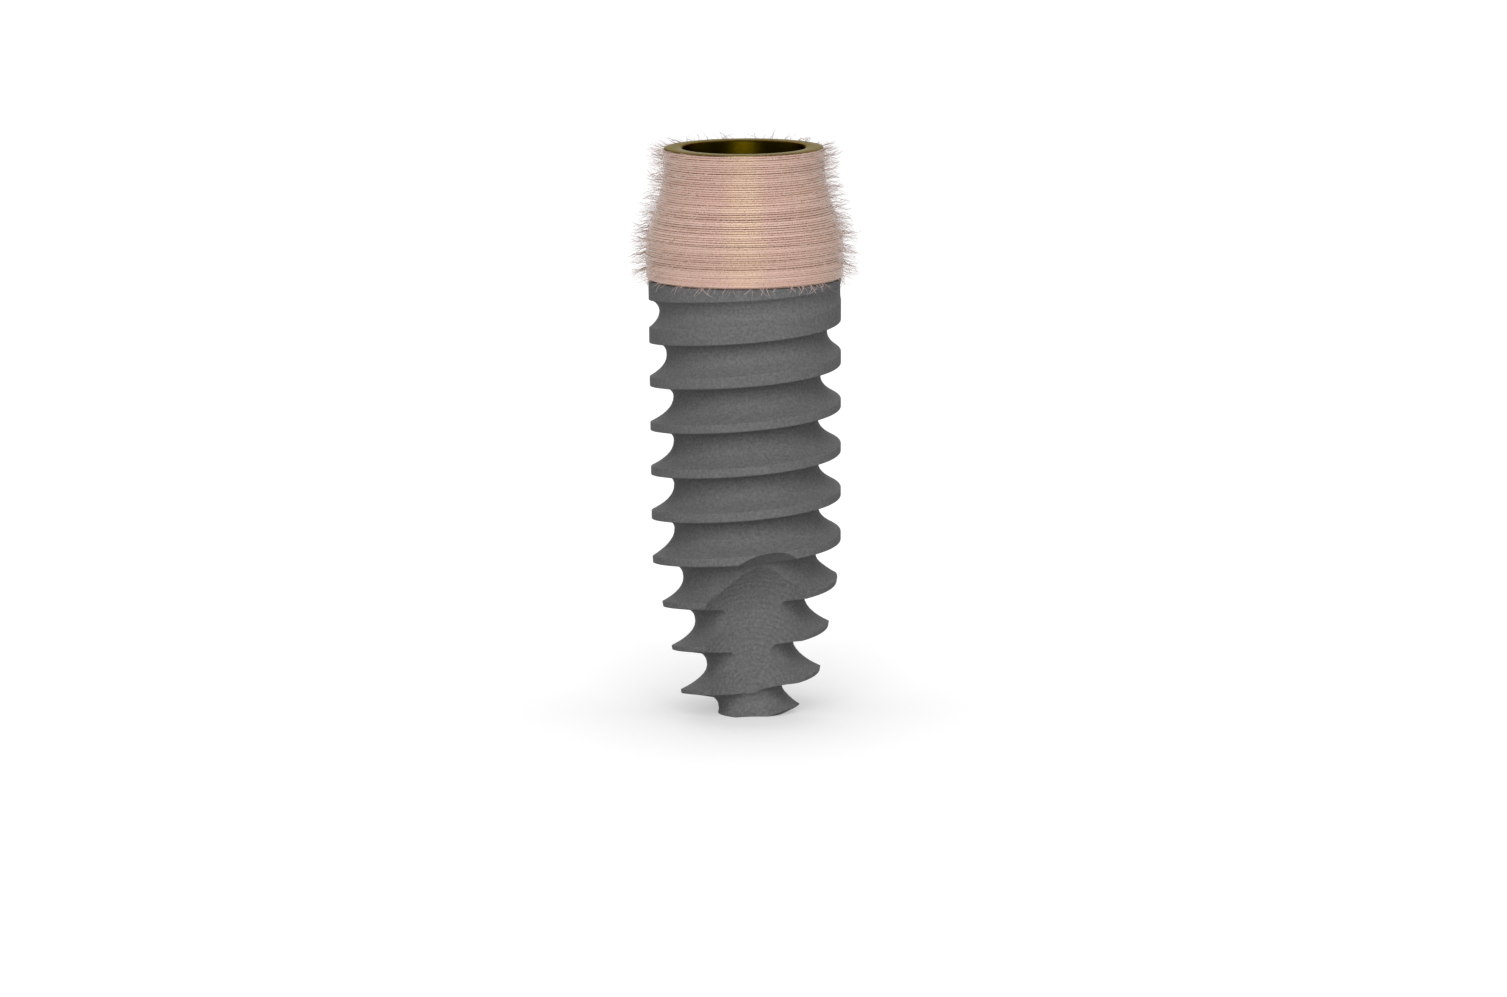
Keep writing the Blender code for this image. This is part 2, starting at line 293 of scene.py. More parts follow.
# how far each point stands outside the flute's surface; above 0 it is milled away
def fluteMargin(points):
    x, y, z = points.T
    radius = np.hypot(x, y)
    margin = radius - fluteRadius(np.arctan2(y, x), z)
    spared = (z > flute["noseZ"] + flute["noseLength"]) | (radius < flute["axisCore"])
    return np.where(spared, -1.0, margin)


# points of every column of the turned outside, and how many of them one turn takes
def threadColumns(angles):
    turns = range(-2, math.ceil(thread["topZ"]) + 3)
    rows = []
    for turn in turns:
        rows += [np.stack(point, axis=-1) for point in reversed(threadSection(angles, turn))]
    grid = np.stack(rows, axis=1)
    z = np.clip(grid[..., 1], 0, thread["topZ"] - thread["shoulderChamfer"])
    exact = threadRadius(angles[:, None], z)
    radius = np.where(z == grid[..., 1], grid[..., 0], exact)
    return roundPoints(radius, angles[:, None], z), len(rows) // len(turns)


# the whole turned outside as a bmesh in millimetres, before milling
def threadedShape():
    columns = thread["columns"]
    angles = anglesRound(columns)
    wound, rowsATurn = threadColumns(angles)
    count = wound.shape[1]
    ends = [
        (thread["bodyRadius"] - thread["shoulderChamfer"], thread["topZ"]),
        (thread["insertRadius"], thread["topZ"]),
        (thread["insertRadius"], thread["insertFloorZ"])]
    inner = np.stack([roundPoints(r, angles, np.full(columns, z)) for r, z in ends], axis=1)
    flat = np.concatenate([wound, inner], axis=1).reshape(-1, 3)
    total = count + len(ends)
    faces = []
    for column in range(columns):
        after = (column + 1) % columns
        shift = rowsATurn if after == 0 else 0      # the last column joins the first a turn up
        here, there = column * total, after * total
        for row in range(total - 1):
            low = min(row + shift, count - 1) if row < count else row
            high = min(row + 1 + shift, count - 1) if row + 1 < count else row + 1
            corners = dict.fromkeys([here + row, there + low, there + high, here + row + 1])
            if len(corners) > 2:
                faces.append(list(corners))
    for row in range(rowsATurn):        # foot of the first column, below the last one's first row
        faces.append([(columns - 1) * total, row, row + 1])
    flat = np.vstack([flat, [[0, 0, 0], [0, 0, thread["insertFloorZ"]]]])
    tip, floor = len(flat) - 2, len(flat) - 1
    for column in range(columns):
        after = (column + 1) % columns
        faces.append([tip, after * total, column * total])
        faces.append([floor, column * total + total - 1, after * total + total - 1])
    mesh = bpy.data.meshes.new("turned")
    mesh.from_pydata(flat.tolist(), [], faces)
    shape = bmesh.new()
    shape.from_mesh(mesh)
    bpy.data.meshes.remove(mesh)
    bmesh.ops.remove_doubles(shape, verts=shape.verts, dist=mergeDistance)
    bmesh.ops.dissolve_degenerate(shape, edges=shape.edges, dist=0.1 * mergeDistance)
    return shape


def shapePoints(shape):
    return np.array([vertex.co for vertex in shape.verts])


# how far along each line from start to end the flute's surface lies
def crossingShares(start, end, startMilled):
    low, high = np.zeros(len(start)), np.ones(len(start))
    for _ in range(14):
        middle = (low + high) / 2
        here = start + (end - start) * middle[:, None]
        same = (fluteMargin(here) > 0) == startMilled
        low, high = np.where(same, middle, low), np.where(same, high, middle)
    return np.clip((low + high) / 2, 0.02, 0.98)


# splits the skin along the flute's rim, then sinks what lies inside it to the milled surface
def millFlutes(shape):
    shape.verts.index_update()
    points = shapePoints(shape)
    margin = fluteMargin(points)
    pairs = np.array([[v.index for v in edge.verts] for edge in shape.edges])
    crossing = margin[pairs[:, 0]] * margin[pairs[:, 1]] < 0
    crossing &= np.hypot(points[pairs, 0], points[pairs, 1]).min(axis=1) > 0.05
    edges = [edge for edge, hit in zip(shape.edges, crossing) if hit]
    first, second = pairs[crossing].T
    shares = crossingShares(points[first], points[second], margin[first] > 0)
    shape.verts.ensure_lookup_table()
    starts = [shape.verts[i] for i in first]
    rim = []
    for edge, vertex, share in zip(edges, starts, shares):
        rim.append(bmesh.utils.edge_split(edge, vertex, float(share))[1])
    bmesh.ops.connect_verts(shape, verts=rim)
    onRim = set(rim)
    for edge in shape.edges:
        edge.smooth = not (edge.verts[0] in onRim and edge.verts[1] in onRim)
    shape.verts.index_update()
    margin = fluteMargin(shapePoints(shape))
    for vertex in shape.verts:
        if vertex not in onRim and margin[vertex.index] > 0:
            radius = math.hypot(vertex.co.x, vertex.co.y)
            scale = (radius - margin[vertex.index]) / radius
            vertex.co.x *= scale
            vertex.co.y *= scale
    return shape


# blasted grey titanium: fine grain, faint blotches, mill marks in the flutes
def makeTitanium():
    material, tree, shader = emptyMaterial("blastedTitanium", titanium["shader"])
    place = addNode(tree, "TexCoord").outputs["Object"]
    grain = addNode(tree, "TexNoise", {
        "Vector": place, "Scale": titanium["grainScale"], "Detail": 2.0, "Roughness": 0.6})
    blotch = addNode(tree, "TexNoise", {
        "Vector": place, "Scale": titanium["blotchScale"], "Detail": 4.0})
    grain, blotch = grain.outputs["Fac"], blotch.outputs["Fac"]
    mixed = addNode(tree, "Mix", {"Factor": titanium["blotchShare"], "A": grain, "B": blotch})
    colour = addRamp(tree, mixed.outputs["Result"], titanium["tones"])
    tree.links.new(colour, shader.inputs["Base Color"])
    wobble = addMath(tree, "MULTIPLY", blotch, titanium["arcWobble"])
    phase = addMath(tree, "ADD", readPointValues(tree, "millArc"), wobble)
    ring = addMath(tree, "SINE", phase)
    marks = addMath(tree, "MULTIPLY", ring, readPointValues(tree, "milled"))
    height = addMath(tree, "MULTIPLY_ADD", marks, titanium["arcDepth"], grain)
    addBump(tree, shader, height, titanium["bumpStrength"], titanium["bumpDistance"])
    return material


def buildFixture():
    shape = millFlutes(threadedShape())
    x, y, z = shapePoints(shape).T
    bmesh.ops.recalc_face_normals(shape, faces=shape.faces)
    mesh = bpy.data.meshes.new("threaded_fixture")
    shape.to_mesh(mesh)
    shape.free()
    mesh.transform(Matrix.Scale(mm, 4))
    piece = linkPiece("threaded_fixture", mesh, makeTitanium())
    radius, angle = np.hypot(x, y), np.arctan2(y, x)
    onFlute = np.abs(radius - fluteRadius(angle, z)) < 1e-3
    across = radius * np.sin(angle - math.radians(flute["bearing"])) * titanium["arcWidth"]
    along = (z - titanium["arcCentreZ"]) * titanium["arcHeight"]
    pointValues(piece, "milled", onFlute.astype(float))
    pointValues(piece, "millArc", np.hypot(across, along) * titanium["arcsPerMm"])
    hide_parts("implant_body")
    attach(piece, "root")
    print("threaded fixture built,", len(mesh.polygons), "faces")


buildFixture()


# rim and socket: one turned insert with a gold-anodised face

socket = {
    "collarFootZ": 9.81, "rimZ": 12.745, "rimRadius": 1.775, "rimEdge": 0.02,
    "rimUnderside": 0.10, "rimWidth": 0.40, "mouthChamfer": 0.03,
    "coneDepth": 2.10, "coneHalfAngle": 6.0, "hexFlats": 1.96, "hexDepth": 1.30,
    "boreRadius": 0.80, "boreDepth": 3.60, "drillPoint": 0.45,
    "columns": 288, "sharpAngle": 40.0,
}
wrap = {
    "thickness": 0.15, "gap": 0.015, "topGap": 0.008, "proudOfRim": 0.025, "proudOfBody": 0.055,
    "footBand": 0.99, "topBand": 0.63, "chamfer": 0.035, "flarePower": 1.25,
    "turns": 58, "stepsATurn": 132, "overlap": 1.18, "ridge": 0.010, "seed": 11,
    "across": (-0.5, -0.34, -0.2, 0.14, 0.38, 0.5),     # points across one strand, in pitches
    "fall": (1.0, 0.7, 0.0, 0.0, 0.3, 1.0),             # how far each of them drops to the gap, and how much of the gap's painted shade its colour takes
    # the gaps between strands are coloured darker as painted shade, more in the flare; each
    # strand's crest gets a painted highlight
    "tone": 0.66, "gapPaintedShade": 0.14, "flarePaintedShade": 0.24, "lapPaintedShade": 1.9, "crestPaintedHighlight": 0.06,
    "laps": (          # heights of the deeper gaps between strands, and how deep from 0 to 1; these gaps are cut deeper and get darker painted shade
        (12.44, 0.55), (12.30, 0.4), (12.12, 0.7), (11.97, 0.35), (11.44, 0.95),
        (11.30, 0.35), (11.13, 0.7), (11.00, 0.8), (10.88, 0.7), (10.76, 1.1),
        (10.42, 0.55), (10.21, 0.6), (10.05, 0.35)),
    "backingColumns": 144, "backingSink": 0.035, "backingShadeTone": 0.15, "backingFootTone": 0.6,
}
wrapFoot = socket["collarFootZ"] + wrap["gap"]
wrapTop = socket["rimZ"] - wrap["topGap"]
gold = {
    "grainScale": 9000.0,
    "ring": [(0.35, (0.165, 0.134, 0.090)), (0.65, (0.207, 0.170, 0.120))],
    "down": [           # from the flat ring, down the cone: dark just inside the mouth as painted shade in the bore, lighter again deep in the cone
        (0.0, (0.75, 0.74, 0.70)), (0.004, (0.20, 0.165, 0.0026)),
        (0.3, (0.15, 0.125, 0.0026)), (1.0, (0.83, 0.70, 0.20))],
    "bumpStrength": 0.25, "bumpDistance": 0.003,
    "shader": {"Metallic": 1.0, "Roughness": 0.32, "Specular Tint": (0.32, 0.28, 0.14, 1.0)},
}


# outer radius of the wrap at a height: straight foot, flare, straight top
def wrapRadius(z):
    flareFoot = socket["collarFootZ"] + wrap["footBand"]
    flareTop = socket["rimZ"] - wrap["topBand"]
    share = np.clip((flareTop - z) / (flareTop - flareFoot), 0, 1)
    top = socket["rimRadius"] + wrap["proudOfRim"]
    bottom = thread["bodyRadius"] + wrap["proudOfBody"]
    return top + (bottom - top) * share ** wrap["flarePower"]


# skins a stack of rings, each a radius (or one for each column) and a height, from the foot up
def turnedPiece(name, outline, columns, material):
    angles = anglesRound(columns)
    rings = [
        roundPoints(radius * np.ones(columns), angles, np.full(columns, z))
        for radius, z in outline]
    faces = []
    for ring in range(len(rings) - 1):
        low, high = ring * columns, (ring + 1) * columns
        for column in range(columns):
            after = (column + 1) % columns
            faces.append([low + column, low + after, high + after, high + column])
    piece = meshPiece(name, np.concatenate(rings), faces, material)
    shape = bmesh.new()
    shape.from_mesh(piece.data)
    bmesh.ops.remove_doubles(shape, verts=shape.verts, dist=mergeDistance * mm)
    bmesh.ops.recalc_face_normals(shape, faces=shape.faces)
    shape.to_mesh(piece.data)
    shape.free()
    return piece


def makeGold():
    material, tree, shader = emptyMaterial("goldAnodised", gold["shader"])
    place = addNode(tree, "TexCoord").outputs["Object"]
    grain = addNode(tree, "TexNoise", {
        "Vector": place, "Scale": gold["grainScale"], "Detail": 3.0}).outputs["Fac"]
    ring = addRamp(tree, grain, gold["ring"])
    # painted shade: the colour darkens just inside the mouth of the socket
    depth = addRamp(tree, readPointValues(tree, "inside"), gold["down"])
    colour = addNode(tree, "Mix", {"Factor": 1.0, "A": ring, "B": depth},
                     data_type="RGBA", blend_type="MULTIPLY")
    tree.links.new(colour.outputs["Result"], shader.inputs["Base Color"])
    addBump(tree, shader, grain, gold["bumpStrength"], gold["bumpDistance"])
    return material


def buildSocket():
    columns = socket["columns"]
    side = math.tau / 6
    fromFlat = np.mod(anglesRound(columns) + side / 2, side) - side / 2
    hexagon = socket["hexFlats"] / 2 / np.cos(fromFlat)
    rim, rimZ = socket["rimRadius"], socket["rimZ"]
    mouth, chamfer = rim - socket["rimWidth"], socket["mouthChamfer"]
    slope = math.tan(math.radians(socket["coneHalfAngle"]))
    coneZ = rimZ - socket["coneDepth"]
    hexZ = coneZ - socket["hexDepth"]
    boreZ = hexZ - socket["boreDepth"]
    underRim = rimZ - socket["rimEdge"] - socket["rimUnderside"]
    outline = [
        (0.0, thread["insertFloorZ"]), (thread["insertRadius"], thread["insertFloorZ"]),
        (thread["insertRadius"], socket["collarFootZ"])]
    for z in np.linspace(socket["collarFootZ"], underRim, 12):
        outline.append((wrapRadius(z) - wrap["thickness"], z))
    outline += [        # outer edge of the rim, slightly rounded
        (rim, rimZ - 0.03), (rim, rimZ - 0.015), (rim - 0.006, rimZ - 0.004), (rim - 0.02, rimZ)]
    outline += [        # edge of the mouth
        (mouth + chamfer + 0.01, rimZ), (mouth + chamfer, rimZ - 0.003), (mouth, rimZ - chamfer),
        (mouth - 0.002, rimZ - chamfer - 0.02)]
    for z in np.linspace(rimZ - 0.3, coneZ, 5):
        outline.append((mouth - (rimZ - z) * slope, z))
    outline += [(hexagon, coneZ), (hexagon, hexZ), (socket["boreRadius"], hexZ)]
    outline += [(socket["boreRadius"], boreZ), (0.0, boreZ - socket["drillPoint"])]
    piece = turnedPiece("gold_rim_and_socket", outline, columns, makeGold())
    piece.data.set_sharp_from_angle(angle=math.radians(socket["sharpAngle"]))
    x, y, z = (np.array([vertex.co for vertex in piece.data.vertices]) / mm).T
    # how far down the mouth each point lies, which sets the painted shade in the bore
    inMouth = np.hypot(x, y) < mouth + 0.5 * chamfer
    depth = np.where(inMouth, (rimZ - z) / socket["coneDepth"], 0.0)
    pointValues(piece, "inside", np.clip(depth, 0, 1))
    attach(piece, "root")
    print("rim and socket built")


buildSocket()


# fibre wrap: one flat strand wound round the collar over a backing sleeve, coloured dark as
# painted shade where it shows between the strands

fibre = {
    # from dark brown, used mainly for the painted shade in the gaps and on the backing sleeve, up
    # to the palest fibre
    "tones": [
        (0.05, fromScreen(84, 56, 46)), (0.30, fromScreen(132, 98, 85)),
        (0.55, fromScreen(197, 160, 149)), (0.80, fromScreen(216, 182, 171)),
        (1.0, fromScreen(228, 201, 192))],
    "streakContrast": 1.6, "bumpStrength": 0.35, "bumpDistance": 0.004,
    "streaksARadian": 50.0, "streaksAcross": 4.0, "streaksATurn": 3.7,
    "shader": {
        "Roughness": 0.15, "Specular IOR Level": 0.40, "Specular Tint": (0.93, 1.0, 0.20, 1.0)},
}


def lineNoise(chance, count, wavelength):
    knots = max(2, int(count / wavelength) + 2)
    values = np.array([chance.uniform(-1, 1) for _ in range(knots)])
    return np.interp(np.arange(count) / wavelength, np.arange(knots), values)


def chamferedRadius(z):
    return wrapRadius(z) - np.maximum(0, wrap["chamfer"] - (z - wrapFoot))


def makeFibre():
    material, tree, shader = emptyMaterial("pinkFibre", fibre["shader"])
    place = addNode(tree, "TexCoord").outputs["UV"]
    streaks = addNode(tree, "TexNoise", {
        "Vector": place, "Scale": 1.0, "Detail": 4.0, "Roughness": 0.65}).outputs["Fac"]
    centred = addMath(tree, "ADD", streaks, -0.5)
    mixed = addMath(tree, "MULTIPLY_ADD", centred, fibre["streakContrast"],
                    readPointValues(tree, "tone"))
    tree.links.new(addRamp(tree, mixed, fibre["tones"]), shader.inputs["Base Color"])
    addBump(tree, shader, streaks, fibre["bumpStrength"], fibre["bumpDistance"])
    return material


def buildWinding(material):
    chance = random.Random(wrap["seed"])
    steps = wrap["turns"] * wrap["stepsATurn"]
    count = steps + 1
    pitch = (wrapTop - wrapFoot) / wrap["turns"]
    index = np.arange(count)
    angle = index / wrap["stepsATurn"] * math.tau
    z = wrapFoot + pitch * 0.5 + (wrapTop - wrapFoot - pitch) * index / steps
    z = z + 0.004 * lineNoise(chance, count, 40)
    lift = 0.004 * lineNoise(chance, count, 55)
    tilt = 0.005 * lineNoise(chance, count, 90)
    turn = index // wrap["stepsATurn"]
    # share of the flare, where the gaps get more painted shade
    inFlare = np.clip((z - socket["collarFootZ"] - 0.75) / 0.25, 0, 1)
    depths = np.array([0.5 * chance.random() ** 1.6 for _ in range(wrap["turns"] + 2)])
    for lapZ, lapDepth in wrap["laps"]:
        depths[round((lapZ - wrapFoot) / pitch - 0.5)] = lapDepth
    # how deep each turn's gap is cut, which also sets how dark its painted shade is
    deepTurn = depths[turn] * np.clip((turn - 1) / 3, 0, 1)
    breaks = 0.5 + 0.5 * lineNoise(chance, count, 14)
    base = wrap["tone"] + 0.10 * lineNoise(chance, count, 60)
    base = base + 0.06 * lineNoise(chance, count, 9)
    # painted shade: the colour in the gaps between strands is darkened, more in the flare and
    # most at the deeper laps
    gapShadedTone = base - wrap["gapPaintedShade"] - wrap["flarePaintedShade"] * inFlare
    gapShadedTone = gapShadedTone - wrap["lapPaintedShade"] * deepTurn * (0.5 + 0.5 * breaks)
    points, tones, places = [], [], []
    for share, fall in zip(wrap["across"], wrap["fall"]):
        height = np.clip(z + share * pitch * wrap["overlap"], wrapFoot, wrapTop)
        depth = fall * wrap["ridge"] * (0.5 + deepTurn) + tilt * share
        radius = chamferedRadius(height) - 0.004 + lift - depth
        # painted highlight: the crest of each strand is coloured lighter
        crestHighlight = wrap["crestPaintedHighlight"] if fall == 0.0 else 0.0
        along = angle * fibre["streaksARadian"]
        aside = share * fibre["streaksAcross"] + turn * fibre["streaksATurn"]
        points.append(roundPoints(radius, angle, height))
        tones.append(base * (1 - fall) + gapShadedTone * fall + crestHighlight)
        places.append(np.stack([along, aside], axis=-1))
    rows = len(points)
    points = np.stack(points, axis=1).reshape(-1, 3)
    tones = np.stack(tones, axis=1).reshape(-1)
    places = np.stack(places, axis=1).reshape(-1, 2)
    start = (np.arange(steps)[:, None] * rows + np.arange(rows - 1)[None, :]).reshape(-1)
    faces = np.stack([start, start + rows, start + rows + 1, start + 1], axis=-1)
    piece = meshPiece("wound_fibre_strands", points, faces.tolist(), material)
    pointValues(piece, "tone", tones)
    layer = piece.data.uv_layers.new(name="strand")
    corners = np.empty(len(piece.data.loops), np.int32)
    piece.data.loops.foreach_get("vertex_index", corners)
    layer.data.foreach_set("uv", places[corners].astype(np.float32).reshape(-1))
    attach(piece, "root")
    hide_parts("collar_fibre_wrap")
    print("winding built,", len(faces), "faces")


def buildBacking(material):
    inset = wrap["thickness"] - wrap["gap"]
    outer = [wrapFoot, wrapFoot + wrap["chamfer"]]
    outer += [*np.linspace(wrapFoot + 0.2, wrapTop - 0.01, 30), wrapTop]
    inner = [wrapTop - socket["rimUnderside"], *np.linspace(wrapTop - 0.2, wrapFoot, 14)]
    outline = [(wrapRadius(wrapFoot) - inset, wrapFoot)]
    outline += [(chamferedRadius(z) - wrap["backingSink"], z) for z in outer]
    outline += [(wrapRadius(z) - inset, z) for z in inner]
    piece = turnedPiece("fibre_backing_sleeve", outline, wrap["backingColumns"], material)
    height = np.array([vertex.co.z for vertex in piece.data.vertices]) / mm
    atFoot = height < wrapFoot + 0.13
    # painted shade: the sleeve is dark, except at the foot where it takes the pale colour of the
    # wrap's lip
    pointValues(piece, "tone", np.where(atFoot, wrap["backingFootTone"], wrap["backingShadeTone"]))
    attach(piece, "root")
    print("backing sleeve built")


pinkFibre = makeFibre()
buildWinding(pinkFibre)
buildBacking(pinkFibre)


# loose fibre ends: thin curved tubes all round the wrap, at its top edge and at its foot

hairs = {
    "count": 3600, "segments": 8, "width": 0.0078, "seed": 5,
    "shortest": 0.34, "longest": 0.47, "brokenShare": 0.10, "thickShare": 0.12,
    "spread": 0.10,         # how unevenly the roots lie
    "rootShade": 0.45,      # how far a loose end is shaded as the wrap under it
    "tipThinner": 0.65, "toneAtRoot": 0.5, "toneAlong": 1.2,
    # each fibre has its own random tone; the darker roots are painted shade in place of the
    # shadows the fibres do not cast
    "tones": [
        (0.0, fromScreen(134, 102, 90)), (0.35, fromScreen(180, 146, 133)),
        (0.60, fromScreen(204, 174, 162)), (1.0, fromScreen(202, 180, 172))],
    "shader": {"Roughness": 0.6, "Specular IOR Level": 0.3},
}
rimEnds = {"count": 120, "shortest": 0.22, "longest": 0.48, "width": 1.7 * hairs["width"]}
footCurls = {"count": 64, "shortest": 0.05, "longest": 0.26, "width": 1.7 * hairs["width"]}
goldenAngle = 2.399963      # spreads the roots evenly round the wrap


def unit(vectors):
    return vectors / np.linalg.norm(vectors, axis=-1, keepdims=True)


def asColumn(values):
    return values[:, None]


# tubes with a three-sided section along the given paths, thinning towards the tip
def hairPiece(name, paths, width, tones, material):
    count, stations = paths.shape[:2]
    tiny = 1e-9
    tangent = np.gradient(paths, axis=1)
    tangent /= np.linalg.norm(tangent, axis=2, keepdims=True) + tiny
    helper = np.zeros_like(tangent)
    helper[..., 2] = 1.0
    steep = np.abs(tangent[..., 2]) > 0.9
    helper[steep] = (1.0, 0.0, 0.0)
    first = np.cross(tangent, helper)
    first /= np.linalg.norm(first, axis=2, keepdims=True) + tiny
    second = np.cross(tangent, first)
    share = np.linspace(0, 1, stations)
    radius = 0.5 * width[:, None, None] * (1 - hairs["tipThinner"] * share[None, :, None])
    rings = []
    for a in anglesRound(3):
        rings.append(paths + radius * (first * math.cos(a) + second * math.sin(a)))
    points = np.stack(rings, axis=2).reshape(-1, 3)
    base = (asColumn(np.arange(count)) * stations + np.arange(stations - 1)).reshape(-1) * 3
    faces = []
    for corner in range(3):
        after = (corner + 1) % 3
        sides = [base + corner, base + after, base + 3 + after, base + 3 + corner]
        faces += np.stack(sides, axis=-1).tolist()
    tip = (np.arange(count) * stations + stations - 1) * 3
    faces += np.stack([tip, tip + 1, tip + 2], axis=-1).tolist()
    piece = meshPiece(name, points, faces, material)
    # painted shade: the tone is darkest at the root and lightens towards the tip, on top of each
    # fibre's own random tone
    atRoot = np.repeat(tones, stations * 3) * hairs["toneAtRoot"]
    along = np.repeat(np.tile(share, count), 3) * hairs["toneAlong"]
    pointValues(piece, "tone", np.clip(atRoot + along, 0, 1))
    roots = unit(np.repeat(paths[:, 0], stations * 3, axis=0) * (1.0, 1.0, 0.0))
    own = unit(points - np.repeat(paths.reshape(-1, 3), 3, axis=0))
    shaded = hairs["rootShade"] * roots + (1 - hairs["rootShade"]) * own
    piece.data.normals_split_custom_set_from_vertices(unit(shaded))
    piece.visible_shadow = False
    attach(piece, "root")
    print(name, "built,", count, "fibres")


def makeHair():
    material, tree, shader = emptyMaterial("looseFibre", hairs["shader"])
    colour = addRamp(tree, readPointValues(tree, "tone"), hairs["tones"])
    tree.links.new(colour, shader.inputs["Base Color"])
    return material


# places along a hair from 0 at its root to 1 at its tip
def alongHair():
    return np.linspace(0, 1, hairs["segments"] + 1)[None, :]


# starts a wave at nothing and lets it grow to its full size halfway out
def rootedWave(wave, t):
    return (wave - wave[:, :1]) * np.minimum(1, 2 * t)


def growHairs(material):
    chance = np.random.default_rng(hairs["seed"])
    count, spread = hairs["count"], hairs["spread"]
    share = (np.arange(count) + chance.uniform(0, 1, count)) / count
    evenZ = wrapFoot + 0.08 + (wrapTop - wrapFoot - 0.10) * share
    evenAngle = np.arange(count) * goldenAngle + chance.uniform(-0.35, 0.35, count)
    length = chance.uniform(hairs["shortest"], hairs["longest"], count)
    sway = chance.normal(0, 0.10, count)
    height = (evenZ - wrapFoot) / (wrapTop - wrapFoot)
    rise = -0.42 + 0.72 * height + chance.normal(0, 0.11, count)
    z = np.clip(evenZ + chance.normal(0, spread, count), wrapFoot + 0.03, wrapTop - 0.01)
    angle = evenAngle + chance.normal(0, spread / 2.0, count)
    broken = np.where(chance.uniform(0, 1, count) < hairs["brokenShare"], 0.5, 1)
    length = length * broken * chance.uniform(0.8, 1.05, count)
    sway = sway + chance.normal(0, 0.12, count)
    rise = rise + chance.normal(0, 0.08, count)
    steepest = 0.28 + 0.26 * np.sin(angle) + 8 * np.maximum(0, 0.85 - height)
    rise = np.minimum(rise, steepest)       # near the rim few stand up, and more at the back
    t = alongHair()
    beat = asColumn(chance.uniform(1.2, 2.1, count)) * t + asColumn(chance.uniform(0, 1, count))
    wave = asColumn(chance.uniform(0.012, 0.028, count)) * np.sin(math.tau * beat)
    wave = rootedWave(wave, t)
    curl = asColumn(chance.normal(0, 0.25, count)) * t ** 2
    out = asColumn(length) * t
    along = asColumn(length) * (asColumn(rise) * t + 0.4 * curl * t) + wave
    aside = asColumn(length) * (asColumn(sway) * t + 0.3 * curl) + wave * 0.4
    radius = asColumn(chamferedRadius(z)) - 0.02 + out
    paths = roundPoints(radius, asColumn(angle) + aside / 2.2, asColumn(z) + along)
    thick = np.where(chance.uniform(0, 1, count) < hairs["thickShare"], 2.6, 0.8)
    width = hairs["width"] * thick * chance.uniform(0.8, 1.2, count)
    hairPiece("loose_fibre_ends", paths, width, chance.uniform(0, 1, count), material)


# short ends that stand up along the top edge of the wrap
def growRimEnds(material):
    chance = np.random.default_rng(hairs["seed"] + 2)
    count = rimEnds["count"]
    angle = chance.uniform(0, math.tau, count)
    length = chance.uniform(rimEnds["shortest"], rimEnds["longest"], count)
    rise = (0.24 + 0.20 * np.sin(angle)) * chance.uniform(0.7, 1.6, count)
    t = alongHair()
    size = asColumn(chance.uniform(0.006, 0.016, count))
    wave = size * np.sin(math.tau * (1.3 * t + asColumn(chance.uniform(0, 1, count))))
    wave = rootedWave(wave, t)
    radius = wrapRadius(wrapTop) - 0.03 + asColumn(length) * (1 - asColumn(rise)) * t
    z = wrapTop - asColumn(chance.uniform(0.02, 0.14, count))
    z = z + asColumn(length) * asColumn(rise) * t + 0.5 * wave
    lean = asColumn(length * chance.normal(0, 0.5, count))
    a = asColumn(angle) + lean * t ** 1.5 / 1.8 + wave / 1.8
    width = rimEnds["width"] * chance.uniform(0.7, 1.1, count)
    tones = chance.uniform(0.2, 1, count)
    hairPiece("rim_fibre_ends", roundPoints(radius, a, z), width, tones, material)


# short curls that hang over the edge of the metal at the foot of the wrap
def growFootCurls(material):
    chance = np.random.default_rng(hairs["seed"] + 1)
    count = footCurls["count"]
    angle = chance.uniform(0, math.tau, count)
    length = chance.uniform(footCurls["shortest"], footCurls["longest"], count)
    side = np.where(chance.uniform(0, 1, count) < 0.7, -1, 1) * chance.uniform(0.2, 1.1, count)
    t = alongHair()
    rootZ = wrapFoot + asColumn(chance.uniform(0.0, 0.03, count))
    z = rootZ - asColumn(length) * (t ** 1.3) * 0.9
    a = asColumn(angle) + asColumn(length) * asColumn(side) * t ** 1.8 / 2.2
    radius = thread["bodyRadius"] + 0.012 + 0.05 * np.sin(math.pi * np.clip(t, 0, 1))
    radius = radius + asColumn(chance.uniform(0.0, 0.05, count)) * t
    width = footCurls["width"] * chance.uniform(0.8, 1.3, count)
    tones = chance.uniform(0.6, 1, count)
    hairPiece("foot_fibre_curls", roundPoints(radius, a, z), width, tones, material)


looseFibre = makeHair()
growHairs(looseFibre)
growRimEnds(looseFibre)
growFootCurls(looseFibre)


# floor, backdrop, studio light and camera

studio = {
    "floorSize": 600.0, "floorTone": 0.50, "worldLight": 0.30,
    "floorGlow": 0.68, "paintedShadowGlow": 0.41,             # the floor as the camera and polished metal see it, lowered near the object into a painted soft shadow
    "paintedShadowReach": 9.0, "paintedShadowFull": 0.65,           # how far the painted soft shadow spreads
    "reflectedFront": 0.08, "reflectedBack": 1.0,       # what polished metal sees
    "lampDistance": 150.0, "lampAimZ": 7.0,
    "keyStrength": 2.65, "keyElevation": 28.0, "keySpread": 50.0,
    "fillStrength": 0.8, "fillElevation": 30.0, "fillSpread": 60.0,     # soft light from behind
}
view = {
    "lens": 210.0, "sensor": 36.0, "elevation": 8.7, "distance": 196.8, "roll": -0.37,
    "aimX": 0.165, "aimZ": 4.831, "nearest": 0.01, "farthest": 5.0,
}


# whether a ray comes from polished metal or through glass
def polishedRay(tree, path):
    return addMath(tree, "MAXIMUM", path.outputs["Is Glossy Ray"],
                   path.outputs["Is Transmission Ray"])


